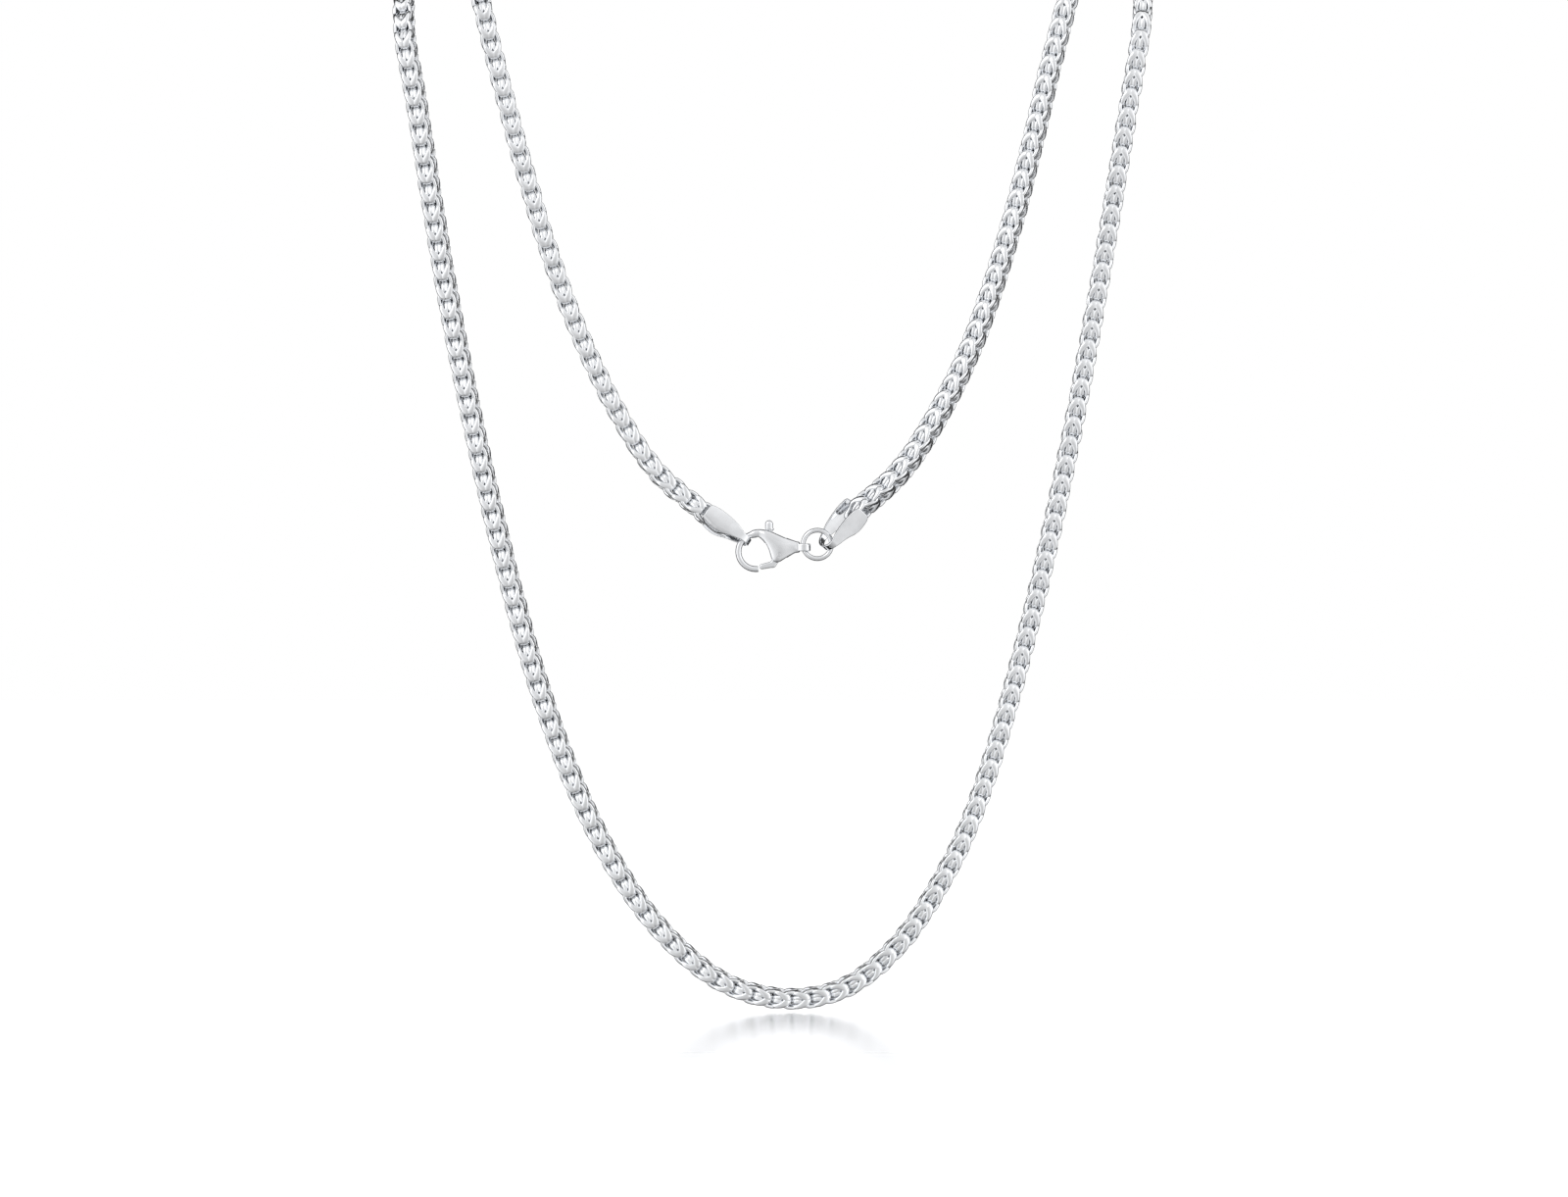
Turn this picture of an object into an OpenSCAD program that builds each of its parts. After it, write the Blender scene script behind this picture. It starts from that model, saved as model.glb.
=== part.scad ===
// Franco chain necklace, worn as two turns round the neck and closed in front
// Millimetres, +Z up, the front towards -Y, origin in the middle of the neck opening

/* [Chain] */
// Width of the chain across its flat faces
chain_w = 3; // [2:0.1:3.2]
// Bevel along each of the chain's four edges
chain_bevel = 0.55; // [0.3:0.05:0.8]

/* [End caps] */
// Thickness of the folded sheet
cap_sheet = 0.35; // [0.25:0.05:0.4]
// Width of the two plates where they hold the chain
cap_w = 3.2; // [2.8:0.1:3.6]
// Width of the narrow tongue at the fold
cap_tongue_w = 1.1; // [0.8:0.1:1.4]
// Gap between the plates at their open end
cap_mouth_gap = 3.8; // [3.7:0.1:4.2]
// Gap between the plates at the fold
cap_fold_gap = 3.2; // [3:0.1:3.3]

/* [Jump ring] */
// Diameter over the outside of the ring
ring_od = 5.1; // [5:0.1:5.3]
// Diameter of the ring's wire
ring_wire = 0.75; // [0.6:0.05:0.8]

/* [Clasp] */
// Clear width of the hook's opening
hook_opening = 4.4; // [4.2:0.1:4.5]
// Diameter of the hook's wire
hook_wire = 0.95; // [0.8:0.05:1]
// Thickness of the clasp's body, front to back
clasp_depth = 2.4; // [2.2:0.1:2.8]
// Thickness of the lever's plate
lever_t = 0.8; // [0.6:0.05:0.9]
// Play on each side of the lever in its slot
lever_play = 0.1; // [0.05:0.01:0.15]
// Diameter of the pin that the lever turns on
pin_d = 0.6; // [0.5:0.05:0.7]

/* [Hidden] */

// Depth of the plane that both loops hang in, and of the neck's middle
front_y = -28;
// The chain's front face looks forward at front_y and up once it is past turned_y
turned_y = -12;

// The chain's route from the right cap to the left cap, with the roll of its front face in degrees
ROUTE = [
    // inner loop, right strand, going up
    [11.8, -28, -90.5, -38],
    [19.4, -28, -83.5, -32],
    [25.6, -28, -74, -28],
    [31, -28, -62.5, -25],
    [35.9, -28, -47.5, -22],
    [39.4, -28, -34, -20],
    [42.2, -28, -22, -18],
    // round the back of the neck to the left
    [45, -26.8, -11, -15],
    [46.7, -21, -2, -10],
    [46.6, -10.5, 4.2, -5],
    [38, 9.2, 7.2, 0],
    [20.9, 24.8, 8, 0],
    [0, 31.8, 6.7, 0],
    [-22.5, 28.6, 5, 0],
    [-42.5, 13.4, 1.8, 5],
    [-53, -5.5, -2, 10],
    [-56.2, -19, -7, 13],
    [-56.6, -27, -16, 15],
    // outer loop, left strand, going down
    [-54.6, -28, -28, 15],
    [-50.5, -28, -53.5, 15],
    [-45.8, -28, -77.5, 15],
    [-40.2, -28, -101.5, 15],
    [-35, -28, -119.5, 14],
    [-29.2, -28, -134.5, 13],
    [-22.8, -28, -146.5, 12],
    [-15.7, -28, -155.5, 12],
    [-7.3, -28, -162, 12],
    [2.2, -28, -164.3, 12],
    [11.2, -28, -162.4, 11],
    [18.8, -28, -156.2, 10],
    [24.6, -28, -148, 9],
    [29.9, -28, -137.5, 8],
    [34.9, -28, -122.5, 6],
    [40.4, -28, -101.5, 5],
    [45.6, -28, -77.5, 4],
    [50, -28, -53.5, 3],
    [54.2, -28, -28, 2],
    // round the back of the neck again, over the first turn
    [56.2, -27, -15.5, 0],
    [56.2, -20, -7.5, 0],
    [53, -7, -2.2, 0],
    [42.6, 13.6, 2.2, 0],
    [23.4, 30.8, 7.8, 0],
    [0, 35.2, 12.3, 0],
    [-21.8, 27.2, 11.2, 0],
    [-38.2, 9.6, 7.6, 0],
    [-46.4, -9, 4, 0],
    [-46.7, -21, -2, 0],
    [-45, -26.8, -11, 0],
    // inner loop, left strand, going down
    [-42.2, -28, -22.5, 0],
    [-38.6, -28, -36, 0],
    [-34.6, -28, -49.5, 0],
    [-29.8, -28, -62.5, 0],
    [-24, -28, -74.5, -2],
    [-18.1, -28, -83.5, -6],
    [-9.8, -28, -90.7, -10]
];
// A stretch that turns more than this between two points gets a ring halfway
sharp_turn = 12;

// Centre of the hook's opening, in X and Z, and of the wire's arc round it
hook_centre = [-2.8, -95.9];
hook_r = (hook_opening + hook_wire) / 2;
hook_start = 62;
hook_end = 272;
tip_swell = 0.1;
inner_edge_step = 0.12;

// Balls that the clasp's body is shaped from: X, Z, radius
BODY_BALLS = [
    [-0.75, -93.85, clasp_depth / 2],
    [0.35, -96.35, clasp_depth / 2],
    [3, -95.25, 0.8]
];
// Hole at the clasp's rear, which the jump ring's wire passes through from top to bottom
rear_eye = [4.56, -95.25];
rear_eye_r = 1.05;
rear_eye_bore = 0.65;
rear_eye_h = 1.2;

// Lever: pivot, running clearance, the slot it turns in and its bars
pivot = [0.75, -96.4];
pin_clearance = 0.06;
pin_seat_gap = 0.03;
pin_l = 2.1;
slot_x = [-1.4, 2];
slot_z = [-98, -90];
lever_slot = lever_t + 2 * lever_play;
lever_hub_r = 0.75;
// Each bar's two ends in X and Z, and its half width at each end
LEVER_BARS = [
    // thumb piece and arm
    [[-0.8, -91.65], [-0.8, -93.4], 0.5, 0.5],
    [[-0.8, -93.4], [-0.15, -95], 0.5, 0.48],
    [[-0.15, -95], pivot, 0.48, 0.6],
    // gate and the lip that rests inside the hook's tip
    [pivot, [0.1, -97.9], 0.6, 0.36],
    [[0.1, -97.9], [-1.85, -98.15], 0.36, 0.32],
    [[-1.85, -98.05], [-2.45, -97.85], 0.24, 0.17]
];

// Jump ring's centre in X and Z
ring_centre = [6.6, -94.8];
ring_r = (ring_od - ring_wire) / 2;

// Caps: lengths along the axis from the open end, to the middle of the fold's arc and to the plan's corners
cap_arc_s = 6.3;
cap_wide_s = 3.4;
cap_shoulder_s = 5;
cap_shoulder_trim = 0.12;
cap_waist_s = 6.1;
cap_neck_s = 7;
left_cap_mouth = [-10.6, -90.1];
left_cap_axis = -33.7;
left_cap_roll = -11;
right_cap_mouth = [12.9, -89.15];
right_cap_axis = 227.6;
right_cap_roll = -33;

// Vectors and the smooth curve through the route's points
function unit(v) = v / norm(v);
function xyz(row) = [row[0], row[1], row[2]];
function last(list) = list[len(list) - 1];
function row_at(i) =
    i < 0 ? 2 * ROUTE[0] - ROUTE[1] :
    i >= len(ROUTE) ? 2 * last(ROUTE) - ROUTE[len(ROUTE) - 2] :
    ROUTE[i];
function curve(a, b, c, d, t) =
    b + t / 2 * (c - a + t * (2 * a - 5 * b + 4 * c - d + t * (3 * b - a - 3 * c + d)));
function curve_slope(a, b, c, d, t) =
    (c - a) / 2 + t * (2 * a - 5 * b + 4 * c - d) + 1.5 * t * t * (3 * b - a - 3 * c + d);
function route_at(i, t) = curve(row_at(i - 1), row_at(i), row_at(i + 1), row_at(i + 2), t);
function route_direction(i, t) =
    unit(xyz(curve_slope(row_at(i - 1), row_at(i), row_at(i + 1), row_at(i + 2), t)));
function turn_over(i) = acos(min(1, route_direction(i, 0) * route_direction(i, 1)));

// One ring of the chain's outline, square to the route
function facing(y) =
    let (forward = max(0, min(1, (turned_y - y) / (turned_y - front_y))))
    [0, -forward, 1 - forward];
function outline(w, bevel) =
    let (a = w / 2, b = w / 2 - bevel)
    [[a, -b], [a, b], [b, a], [-b, a], [-a, b], [-a, -b], [-b, -a], [b, -a]];
function ring_points(i, t) =
    let (
        row = route_at(i, t),
        direction = route_direction(i, t),
        side_0 = unit(cross(direction, facing(row[1]))),
        face_0 = cross(side_0, direction),
        face = face_0 * cos(row[3]) + side_0 * sin(row[3]),
        side = side_0 * cos(row[3]) - face_0 * sin(row[3])
    )
    [for (p = outline(chain_w, chain_bevel)) xyz(row) + p[0] * face + p[1] * side];

// Outline of a bar with round ends of two sizes, in X and Z
function bar(p, q, r_p, r_q, steps = 12) =
    let (
        along = atan2(q[1] - p[1], q[0] - p[0]),
        lean = acos((r_p - r_q) / norm(q - p))
    )
    concat(
        [for (k = [0 : steps]) let (a = along + lean + k * (360 - 2 * lean) / steps)
            p + r_p * [cos(a), sin(a)]],
        [for (k = [0 : steps]) let (a = along - lean + k * 2 * lean / steps)
            q + r_q * [cos(a), sin(a)]]
    );

// Draws an X and Z outline in the clasp's plane, centred on it
module in_plane(depth) {
    translate([0, front_y, 0])
        rotate([90, 0, 0])
            linear_extrude(depth, center = true)
                children();
}

module wire_arc(centre, radius, wire, start, end) {
    translate([centre[0], front_y, centre[1]])
        rotate([90, 0, 0])
            rotate([0, 0, start])
                rotate_extrude(angle = end - start, $fn = 64)
                    translate([radius, 0])
                        circle(d = wire, $fn = 24);
}

module chain() {
    segments = len(ROUTE) - 1;
    rings = concat(
        [for (i = [0 : segments - 1], t = turn_over(i) > sharp_turn ? [0, 0.5] : [0]) ring_points(i, t)],
        [ring_points(segments - 1, 1)]
    );
    sides = len(rings[0]);
    last_ring = len(rings) - 1;
    color("silver")
        polyhedron(
            points = [for (ring = rings, p = ring) p],
            faces = concat(
                [[for (k = [0 : sides - 1]) k]],
                [for (j = [0 : last_ring - 1], k = [0 : sides - 1])
                    [j * sides + k, (j + 1) * sides + k,
                     (j + 1) * sides + (k + 1) % sides, j * sides + (k + 1) % sides]],
                [[for (k = [sides - 1 : -1 : 0]) last_ring * sides + k]]
            )
        );
}

// The inside of a cap seen from its edge: a tapering channel with a round end
module cap_channel(mouth, fold, start) {
    polygon([[start, -mouth / 2], [cap_arc_s, -fold / 2], [cap_arc_s, fold / 2], [start, mouth / 2]]);
    translate([cap_arc_s, 0])
        circle(d = fold, $fn = 48);
}

// A strip of sheet folded double, X from its open end to its fold, Z square to its plates
module end_cap() {
    far = cap_arc_s + cap_fold_gap;
    wide = cap_w / 2;
    tongue = cap_tongue_w / 2;
    half = [[0, wide], [cap_wide_s, wide], [cap_shoulder_s, wide - cap_shoulder_trim],
            [cap_waist_s, (wide + tongue) / 2], [cap_neck_s, tongue], [far, tongue]];
    tall = cap_mouth_gap + 4 * cap_sheet;
    color("silver")
        intersection() {
            rotate([90, 0, 0])
                linear_extrude(2 * cap_w, center = true)
                    difference() {
                        cap_channel(cap_mouth_gap + 2 * cap_sheet, cap_fold_gap + 2 * cap_sheet, 0);
                        cap_channel(cap_mouth_gap, cap_fold_gap, -0.01);
                    }
            linear_extrude(tall, center = true)
                polygon(concat(half, [for (k = [len(half) - 1 : -1 : 0]) [half[k][0], -half[k][1]]]));
        }
}

module place_cap(mouth, axis, roll) {
    translate([mouth[0], front_y, mouth[1]])
        rotate([0, -axis, 0])
            rotate([90 + roll, 0, 0])
                end_cap();
}

module end_cap_left() {
    place_cap(left_cap_mouth, left_cap_axis, left_cap_roll);
}

module end_cap_right() {
    place_cap(right_cap_mouth, right_cap_axis, right_cap_roll);
}

module jump_ring() {
    color("silver")
        wire_arc(ring_centre, ring_r, ring_wire, 0, 360);
}

module hook_tip() {
    translate([hook_centre[0] + hook_r * cos(hook_end), front_y, hook_centre[1] + hook_r * sin(hook_end)])
        rotate([20, 40, 0])
            sphere(d = hook_wire + tip_swell, $fn = 24);
}

module clasp_body() {
    color("silver")
        difference() {
            union() {
                difference() {
                    hull()
                        for (ball = BODY_BALLS)
                            translate([ball[0], front_y, ball[1]])
                                sphere(r = ball[2], $fn = 28);
                    // the inner edge, just outside the hook's opening
                    in_plane(2 * clasp_depth)
                        translate(hook_centre)
                            circle(d = hook_opening + inner_edge_step, $fn = 96);
                }
                wire_arc(hook_centre, hook_r, hook_wire, hook_start, hook_end);
                hook_tip();
                translate([rear_eye[0], front_y, rear_eye[1]])
                    cylinder(r = rear_eye_r, h = rear_eye_h, center = true, $fn = 48);
            }
            // the slot that the lever turns in
            in_plane(lever_slot)
                polygon([[slot_x[0], slot_z[1]], [slot_x[1], slot_z[1]],
                         [slot_x[1], slot_z[0]], [slot_x[0], slot_z[0]]]);
            in_plane(3 * clasp_depth)
                translate(pivot)
                    circle(d = pin_d + 2 * pin_seat_gap, $fn = 32);
            translate([rear_eye[0], front_y, rear_eye[1]])
                cylinder(r = rear_eye_bore, h = 2 * rear_eye_h, center = true, $fn = 32);
        }
}

module clasp_pin() {
    color("gainsboro")
        in_plane(pin_l)
            translate(pivot)
                circle(d = pin_d, $fn = 32);
}

// A plate with the thumb piece above its pivot and the gate below it
module clasp_lever() {
    color("gainsboro")
        in_plane(lever_t)
            difference() {
                union() {
                    for (row = LEVER_BARS)
                        polygon(bar(row[0], row[1], row[2], row[3]));
                    translate(pivot)
                        circle(r = lever_hub_r, $fn = 48);
                }
                translate(pivot)
                    circle(d = pin_d + 2 * pin_clearance, $fn = 32);
            }
}

chain();
end_cap_left();
end_cap_right();
jump_ring();
clasp_body();
clasp_pin();
clasp_lever();
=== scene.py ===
# Franco chain necklace with a lobster clasp, hung as two loops
# Shapes are worked out in millimetres, in the CAD model's frame, and made in metres

import math

import bpy
import numpy as np
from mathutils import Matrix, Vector


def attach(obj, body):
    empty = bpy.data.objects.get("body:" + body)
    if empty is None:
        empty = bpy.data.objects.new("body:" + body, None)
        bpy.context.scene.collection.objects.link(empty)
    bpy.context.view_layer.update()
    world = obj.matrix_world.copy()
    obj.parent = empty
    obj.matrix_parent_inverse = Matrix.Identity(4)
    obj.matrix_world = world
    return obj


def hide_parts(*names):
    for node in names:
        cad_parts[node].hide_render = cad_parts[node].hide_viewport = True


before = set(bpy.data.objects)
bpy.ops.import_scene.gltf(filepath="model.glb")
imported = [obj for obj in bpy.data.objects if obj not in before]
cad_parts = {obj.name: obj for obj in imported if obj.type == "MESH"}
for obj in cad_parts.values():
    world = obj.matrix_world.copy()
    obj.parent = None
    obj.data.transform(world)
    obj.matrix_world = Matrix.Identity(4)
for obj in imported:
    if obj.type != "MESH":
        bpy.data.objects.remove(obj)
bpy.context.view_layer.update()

MM = 0.001

# Camera: level and far back, so that 1600 pixels are 240 mm at the plane that the loops hang in
FRONT_Y = -28.0
PICTURE_CENTRE = (1.5, -103.075)
PICTURE_WIDTH = 240.0
CAMERA_DISTANCE = 3000.0
SENSOR_WIDTH = 36.0


def make_camera():
    """Makes the camera at the photo's viewing angle."""
    data = bpy.data.cameras.new("camera")
    data.sensor_width = SENSOR_WIDTH
    data.lens = SENSOR_WIDTH * CAMERA_DISTANCE / PICTURE_WIDTH
    data.clip_start = 0.05
    data.clip_end = 60.0
    camera = bpy.data.objects.new("camera", data)
    bpy.context.collection.objects.link(camera)
    x, z = PICTURE_CENTRE
    camera.location = (x * MM, (FRONT_Y - CAMERA_DISTANCE) * MM, z * MM)
    camera.rotation_euler = (math.radians(90), 0, 0)
    bpy.context.scene.camera = camera


# Small helpers


def unit(vectors):
    """Vectors made one long, along the last axis."""
    return vectors / np.linalg.norm(vectors, axis=-1, keepdims=True)


def smooth_curve(rows, steps, closed=False):
    """Points of the smooth curve through the rows, with steps points from each row to the next."""
    rows = np.asarray(rows, float)
    if closed:
        padded = np.vstack([rows[-1:], rows, rows[:2]])
    else:
        padded = np.vstack([2 * rows[0] - rows[1], rows, 2 * rows[-1] - rows[-2]])
    a, b, c, d = padded[:-3, None], padded[1:-2, None], padded[2:-1, None], padded[3:, None]
    t = (np.arange(steps) / steps)[None, :, None]
    points = b + t / 2 * (c - a + t * (2 * a - 5 * b + 4 * c - d + t * (3 * b - a - 3 * c + d)))
    points = points.reshape(-1, rows.shape[1])
    return points if closed else np.vstack([points, rows[-1]])


def lengths_along(points):
    """Distance along the points from the first one to each."""
    gaps = np.linalg.norm(np.diff(points, axis=0), axis=1)
    return np.concatenate([[0], np.cumsum(gaps)])


def interpolate(at, known, values):
    """Each column of values, read off at the given distances."""
    return np.stack([np.interp(at, known, column) for column in values.T], axis=-1)


def tube_quads(rings, sides):
    """The faces of a tube that closes on itself, as rings of vertices one after the other."""
    j = np.arange(rings)[:, None]
    k = np.arange(sides)[None, :]
    j_next = (j + 1) % rings
    k_next = (k + 1) % sides
    corners = (j * sides + k, j * sides + k_next, j_next * sides + k_next, j_next * sides + k)
    return np.stack(np.broadcast_arrays(*corners), axis=-1).reshape(-1, 4)


def add_piece(name, vertices, faces, material, body, nodes):
    """Makes a smooth mesh from millimetres, and says which body it rides on and which nodes it replaces."""
    mesh = bpy.data.meshes.new(name)
    mesh.from_pydata((vertices * MM).tolist(), [], faces.tolist())
    mesh.shade_smooth()
    mesh.materials.append(material)
    piece = bpy.data.objects.new(name, mesh)
    bpy.context.collection.objects.link(piece)
    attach(piece, body)
    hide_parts(*nodes)


# Materials: noise scales are per metre, and bump heights are in metres

LIGHT_SILVER = (0.93, 0.944, 0.966)
SOFT_SILVER = (0.905, 0.917, 0.938)
# The darkest tone as a share of the colour, and the least and most roughness as shares of the silver's own
TONE_SCALE = 420
TONE_DARKEST = 0.93
GLOSS_SCALE = 1500
GLOSS_SHARES = (0.7, 1.5)
POLISH_SCALE = 900
POLISH_STRETCH = (1, 1, 14)
POLISH_TURN = (0, 0.5, 0)
POLISH_HEIGHT = 0.00001
DENT_SCALE = 700
DENT_HEIGHT = 0.0001
# Painted shade between the wires: how near other metal darkens a surface, and the darkest and lightest shade
# there and in the hollows
CREVICE_REACH = 0.0003
CREVICE_PAINTED_SHADE = (0.10, 1.0)
HOLLOW_SHADES = (0.88, 1.0)
# The floor's gloss is the most of the light that it mirrors at a glancing angle
FLOOR_COLOUR = (0.9, 0.9, 0.9, 1)
FLOOR_GLOSS_COLOUR = (0.98, 0.985, 1.0, 1)
FLOOR_ROUGHNESS = 0.164
FLOOR_ANISOTROPY = 0.665
FLOOR_IOR = 1.3
FLOOR_GLOSS = 0.85


def add_noise(nodes, links, place, scale, detail):
    """A noise texture over the places that the socket gives. Returns the socket of its value."""
    noise = nodes.new("ShaderNodeTexNoise")
    noise.inputs["Scale"].default_value = scale
    noise.inputs["Detail"].default_value = detail
    links.new(place, noise.inputs["Vector"])
    return noise.outputs["Fac"]


def add_range(nodes, links, value, known, wanted):
    """The socket's value, taken from the known range to the wanted one. Returns the result's socket."""
    change = nodes.new("ShaderNodeMapRange")
    change.inputs["From Min"].default_value, change.inputs["From Max"].default_value = known
    change.inputs["To Min"].default_value, change.inputs["To Max"].default_value = wanted
    links.new(value, change.inputs["Value"])
    return change.outputs["Result"]


def add_product(nodes, links, colour_a, colour_b):
    """Two colour sockets multiplied. Returns the result's socket."""
    product = nodes.new("ShaderNodeMix")
    product.data_type = "RGBA"
    product.blend_type = "MULTIPLY"
    product.inputs["Factor"].default_value = 1.0
    links.new(colour_a, product.inputs["A"])
    links.new(colour_b, product.inputs["B"])
    return product.outputs["Result"]


def add_bump(nodes, links, height, strength, distance):
    """Bumps of the height that the socket gives."""
    bump = nodes.new("ShaderNodeBump")
    bump.inputs["Strength"].default_value = strength
    bump.inputs["Distance"].default_value = distance
    links.new(height, bump.inputs["Height"])
    return bump


def silver(name, colour, roughness, polish_marks, dents):
    """Polished silver with slight changes of tone and gloss, painted shade where wires lie close, a little
    darkening in the hollows, fine polishing marks and soft dents.
    """
    material = bpy.data.materials.new(name)
    material.use_nodes = True
    nodes = material.node_tree.nodes
    links = material.node_tree.links
    shader = nodes["Principled BSDF"]
    shader.inputs["Metallic"].default_value = 1.0
    place = nodes.new("ShaderNodeTexCoord").outputs["Object"]

    tone = add_noise(nodes, links, place, TONE_SCALE, 3)
    shades = nodes.new("ShaderNodeValToRGB")
    shades.color_ramp.elements[0].position = 0.35
    shades.color_ramp.elements[0].color = (*[c * TONE_DARKEST for c in colour], 1)
    shades.color_ramp.elements[1].position = 0.6
    shades.color_ramp.elements[1].color = (*colour, 1)
    links.new(tone, shades.inputs["Fac"])

    # Painted shade: the colour darkens where other wires are near, as the shade between them would fall, and
    # a little in the hollows; the edges keep the full colour
    pointiness = nodes.new("ShaderNodeNewGeometry").outputs["Pointiness"]
    hollows = add_range(nodes, links, pointiness, (0.40, 0.52), HOLLOW_SHADES)
    # Painted shade near other metal, down to a tenth of the colour
    crevices = nodes.new("ShaderNodeAmbientOcclusion")
    crevices.samples = 4
    crevices.inputs["Distance"].default_value = CREVICE_REACH
    painted_shade = add_range(nodes, links, crevices.outputs["AO"], (0.05, 0.30), CREVICE_PAINTED_SHADE)
    painted_shade_and_hollows = nodes.new("ShaderNodeMath")
    painted_shade_and_hollows.operation = "MULTIPLY"
    links.new(hollows, painted_shade_and_hollows.inputs[0])
    links.new(painted_shade, painted_shade_and_hollows.inputs[1])
    # The random tone, darkened by the painted shade between the wires and a little in the hollows
    tone_with_painted_shade = add_product(nodes, links, shades.outputs["Color"], painted_shade_and_hollows.outputs["Value"])
    links.new(tone_with_painted_shade, shader.inputs["Base Color"])

    gloss = add_noise(nodes, links, place, GLOSS_SCALE, 4)
    shares = [roughness * share for share in GLOSS_SHARES]
    spread = add_range(nodes, links, gloss, (0.3, 0.7), shares)
    links.new(spread, shader.inputs["Roughness"])

    stretch = nodes.new("ShaderNodeMapping")
    stretch.inputs["Scale"].default_value = POLISH_STRETCH
    stretch.inputs["Rotation"].default_value = POLISH_TURN
    links.new(place, stretch.inputs["Vector"])
    marks = add_noise(nodes, links, stretch.outputs["Vector"], POLISH_SCALE, 5)
    fine = add_bump(nodes, links, marks, polish_marks, POLISH_HEIGHT)
    waves = add_noise(nodes, links, place, DENT_SCALE, 1)
    soft = add_bump(nodes, links, waves, dents, DENT_HEIGHT)
    links.new(fine.outputs["Normal"], soft.inputs["Normal"])
    links.new(soft.outputs["Normal"], shader.inputs["Normal"])
    return material


def floor_material():
    """White floor that mirrors what is near it at a glancing angle, blurred most from side to side."""
    material = bpy.data.materials.new("floor_white")
    material.use_nodes = True
    nodes = material.node_tree.nodes
    links = material.node_tree.links
    nodes.remove(nodes["Principled BSDF"])
    matt = nodes.new("ShaderNodeBsdfDiffuse")
    matt.inputs["Color"].default_value = FLOOR_COLOUR
    gloss = nodes.new("ShaderNodeBsdfGlossy")
    gloss.inputs["Color"].default_value = FLOOR_GLOSS_COLOUR
    gloss.inputs["Roughness"].default_value = FLOOR_ROUGHNESS
    gloss.inputs["Anisotropy"].default_value = FLOOR_ANISOTROPY
    depthwise = nodes.new("ShaderNodeCombineXYZ")
    depthwise.inputs["Y"].default_value = 1
    links.new(depthwise.outputs["Vector"], gloss.inputs["Tangent"])
    glancing = nodes.new("ShaderNodeFresnel")
    glancing.inputs["IOR"].default_value = FLOOR_IOR
    amount = nodes.new("ShaderNodeMath")
    amount.operation = "MULTIPLY"
    amount.inputs[1].default_value = FLOOR_GLOSS
    links.new(glancing.outputs["Fac"], amount.inputs[0])
    mix = nodes.new("ShaderNodeMixShader")
    links.new(amount.outputs["Value"], mix.inputs["Fac"])
    links.new(matt.outputs["BSDF"], mix.inputs[1])
    links.new(gloss.outputs["BSDF"], mix.inputs[2])
    links.new(mix.outputs["Shader"], nodes["Material Output"].inputs["Surface"])
    return material


# Chain

# The chain's route from the right cap to the left cap: places in metres, as in part.scad, and the roll of
# the chain's front face in degrees
ROUTE = [
    # inner loop, right strand, going up
    (0.0118, -0.028, -0.0905, -38),
    (0.0194, -0.028, -0.0835, -32),
    (0.0256, -0.028, -0.074, -28),
    (0.031, -0.028, -0.0625, -25),
    (0.0359, -0.028, -0.0475, -22),
    (0.0394, -0.028, -0.034, -20),
    (0.0422, -0.028, -0.022, -18),
    # round the back of the neck to the left
    (0.045, -0.0268, -0.011, -15),
    (0.0467, -0.021, -0.002, -10),
    (0.0466, -0.0105, 0.0042, -5),
    (0.038, 0.0092, 0.0072, 0),
    (0.0209, 0.0248, 0.008, 0),
    (0, 0.0318, 0.0067, 0),
    (-0.0225, 0.0286, 0.005, 0),
    (-0.0425, 0.0134, 0.0018, 5),
    (-0.053, -0.0055, -0.002, 10),
    (-0.0562, -0.019, -0.007, 13),
    (-0.0566, -0.027, -0.016, 15),
    # outer loop, left strand, going down
    (-0.0546, -0.028, -0.028, 15),
    (-0.0505, -0.028, -0.0535, 15),
    (-0.0458, -0.028, -0.0775, 15),
    (-0.0402, -0.028, -0.1015, 15),
    (-0.035, -0.028, -0.1195, 14),
    (-0.0292, -0.028, -0.1345, 13),
    (-0.0228, -0.028, -0.1465, 12),
    (-0.0157, -0.028, -0.1555, 12),
    (-0.0073, -0.028, -0.162, 12),
    (0.0022, -0.028, -0.1643, 12),
    (0.0112, -0.028, -0.1624, 11),
    (0.0188, -0.028, -0.1562, 10),
    (0.0246, -0.028, -0.148, 9),
    (0.0299, -0.028, -0.1375, 8),
    (0.0349, -0.028, -0.1225, 6),
    (0.0404, -0.028, -0.1015, 5),
    (0.0456, -0.028, -0.0775, 4),
    (0.05, -0.028, -0.0535, 3),
    (0.0542, -0.028, -0.028, 2),
    # round the back of the neck again, over the first turn
    (0.0562, -0.027, -0.0155, 0),
    (0.0562, -0.02, -0.0075, 0),
    (0.053, -0.007, -0.0022, 0),
    (0.0426, 0.0136, 0.0022, 0),
    (0.0234, 0.0308, 0.0078, 0),
    (0, 0.0352, 0.0123, 0),
    (-0.0218, 0.0272, 0.0112, 0),
    (-0.0382, 0.0096, 0.0076, 0),
    (-0.0464, -0.009, 0.004, 0),
    (-0.0467, -0.021, -0.002, 0),
    (-0.045, -0.0268, -0.011, 0),
    # inner loop, left strand, going down
    (-0.0422, -0.028, -0.0225, 0),
    (-0.0386, -0.028, -0.036, 0),
    (-0.0346, -0.028, -0.0495, 0),
    (-0.0298, -0.028, -0.0625, 0),
    (-0.024, -0.028, -0.0745, -2),
    (-0.0181, -0.028, -0.0835, -6),
    (-0.0098, -0.028, -0.0907, -10),
]
# The chain's front face looks forward at FRONT_Y and up once it is past TURNED_Y
TURNED_Y = -12.0
# Points from each row of the route to the next, and how far the route goes on straight past both its ends
ROUTE_STEPS = 60
ROUTE_REACH = 6.0

# Distance between two links that lie the same way round; the links between them are turned a quarter
PITCH = 3.0
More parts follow.
